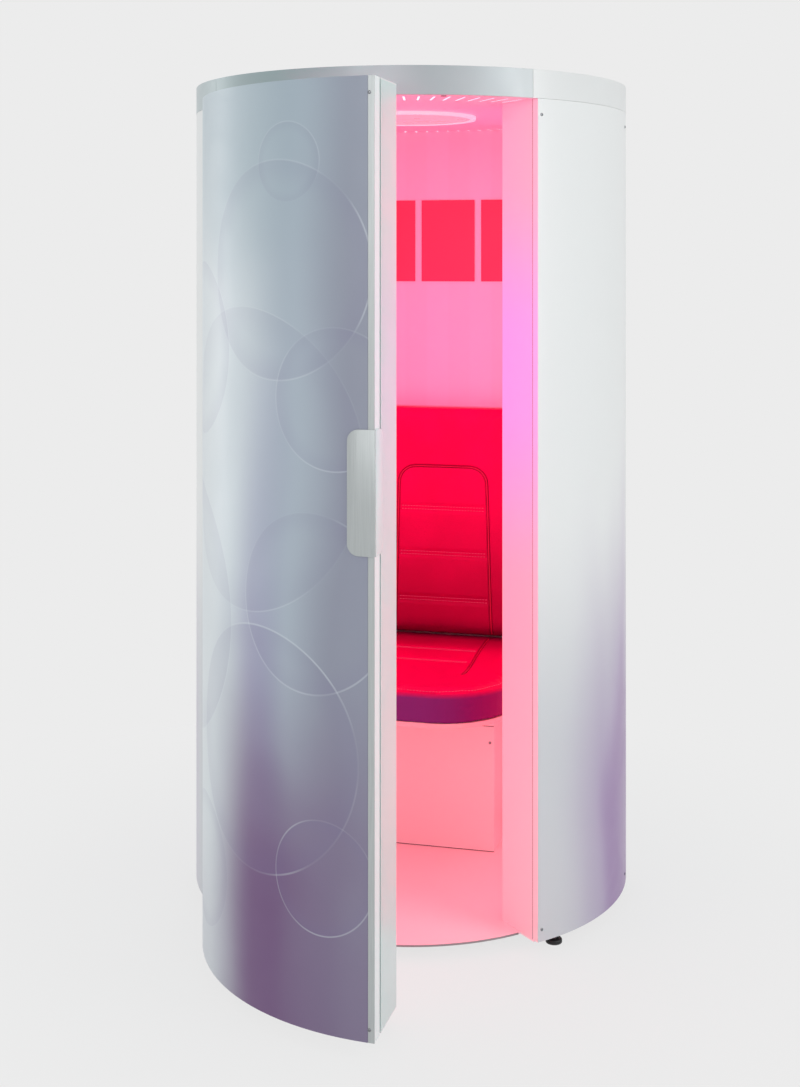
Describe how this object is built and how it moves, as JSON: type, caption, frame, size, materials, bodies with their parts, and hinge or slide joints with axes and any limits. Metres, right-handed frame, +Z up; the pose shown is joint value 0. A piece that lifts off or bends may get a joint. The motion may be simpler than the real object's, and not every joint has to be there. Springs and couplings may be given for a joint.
{
  "type": "vertical tanning booth",
  "caption": "Round upright light booth with a curved hinged door, red bench seat and back cushion, lit lining and levelling feet.",
  "frame": {"origin": "on the cabin's axis at the ground, in the middle of the four feet's circle", "axes": "+Z up, the doorway faces -Y, +X to the right of someone facing the doorway"},
  "size_m": [1.144, 1.5572, 2.1035],
  "materials": {
    "shell_white": "semi-gloss paint",
    "door_print": "gloss printed film, silver to lavender",
    "header_silver": "semi-gloss silver paint",
    "frame_steel": "zinc plated",
    "lining": "satin white lining, lit pink",
    "diffuser": "opal acrylic",
    "upholstery": "stitched red vinyl",
    "board": "plywood",
    "lamp_glass": "phosphor coated tube",
    "white_plastic": "moulded",
    "reflector": "bright rolled sheet",
    "aluminium": "satin anodised",
    "card": "red panel, no lettering",
    "foot_black": "moulded black",
    "bronze": "sintered bush",
    "black_plastic": "moulded black",
    "fastener": "plated screw",
    "grey_plastic": "moulded grey",
    "magnet": "ferrite",
    "green_button": "moulded",
    "red_button": "moulded"
  },
  "bodies": {
    "cabin": {"base_plate": "lining", "frame_posts": "frame_steel", "panel_rails": "frame_steel", "right_side_panel": "shell_white", "left_side_panel": "shell_white", "rear_panel": "shell_white", "right_jamb": "lining", "left_jamb": "lining", "header_front": "header_silver", "header_right": "shell_white", "header_rear": "shell_white", "header_left": "header_silver", "roof_plate": "shell_white", "ceiling_panel": "lining", "ceiling_disc_rim": "white_plastic", "ceiling_disc": "diffuser", "ceiling_light_pan": "reflector", "ceiling_ring_lamp": "lamp_glass", "right_diffuser": "diffuser", "left_diffuser": "diffuser", "cabin_lamps": "lamp_glass", "cabin_lampholders": "white_plastic", "cabin_reflectors": "reflector", "rear_wall": "lining", "wall_cards": "card", "seat_cushion": "upholstery", "backrest_cushion": "upholstery", "upholstery_boards": "board", "seat_box": "lining", "kick_panel": "lining", "ballasts": "aluminium", "panel_screws": "fastener", "fan_housings": "black_plastic", "pivot_brackets": "frame_steel", "pivot_pins": "frame_steel", "catch_magnet": "magnet", "control_box": "grey_plastic", "cable_gland": "black_plastic"},
    "door": {"door_skin": "door_print", "door_edge_strip": "aluminium", "door_free_stile": "shell_white", "door_hinge_stile": "shell_white", "door_screws": "fastener", "door_bottom_cap": "shell_white", "door_top_cap": "shell_white", "pivot_bushes": "bronze", "door_diffuser": "diffuser", "door_lamps": "lamp_glass", "door_lampholders": "white_plastic", "door_reflector": "reflector", "door_handle": "aluminium", "catch_strike": "frame_steel"},
    "fan_left": {"fan_rotor_left": "black_plastic"},
    "fan_right": {"fan_rotor_right": "black_plastic"},
    "start_button": {"button_start": "green_button"},
    "stop_button": {"button_stop": "red_button"},
    "foot_front_left": {"foot_front_left": "foot_black"},
    "foot_front_right": {"foot_front_right": "foot_black"},
    "foot_rear_left": {"foot_rear_left": "foot_black"},
    "foot_rear_right": {"foot_rear_right": "foot_black"}
  },
  "joints": [
    {"name": "door_hinge", "type": "hinge", "parent": "cabin", "child": "door", "pos_m": [-0.3733, -0.39758, 1], "axis": [0, 0, 1], "range_deg": [-43.7, 46.3]},
    {"name": "fan_left_spin", "type": "hinge", "parent": "cabin", "child": "fan_left", "pos_m": [-0.15, 0.27, 2.08], "axis": [0, 0, 1], "continuous": true},
    {"name": "fan_right_spin", "type": "hinge", "parent": "cabin", "child": "fan_right", "pos_m": [0.15, 0.27, 2.08], "axis": [0, 0, 1], "continuous": true},
    {"name": "foot_front_left_screw", "type": "slide", "parent": "cabin", "child": "foot_front_left", "axis": [0, 0, -1], "range_m": [0, 0.015]},
    {"name": "foot_front_right_screw", "type": "slide", "parent": "cabin", "child": "foot_front_right", "axis": [0, 0, -1], "range_m": [0, 0.015]},
    {"name": "foot_rear_left_screw", "type": "slide", "parent": "cabin", "child": "foot_rear_left", "axis": [0, 0, -1], "range_m": [0, 0.015]},
    {"name": "foot_rear_right_screw", "type": "slide", "parent": "cabin", "child": "foot_rear_right", "axis": [0, 0, -1], "range_m": [0, 0.015]},
    {"name": "start_button_press", "type": "slide", "parent": "cabin", "child": "start_button", "axis": [-0.7727, -0.6347, 0], "range_m": [0, 0.003], "stiffness_N_per_m": 350},
    {"name": "stop_button_press", "type": "slide", "parent": "cabin", "child": "stop_button", "axis": [-0.7727, -0.6347, 0], "range_m": [0, 0.003], "stiffness_N_per_m": 350}
  ]
}
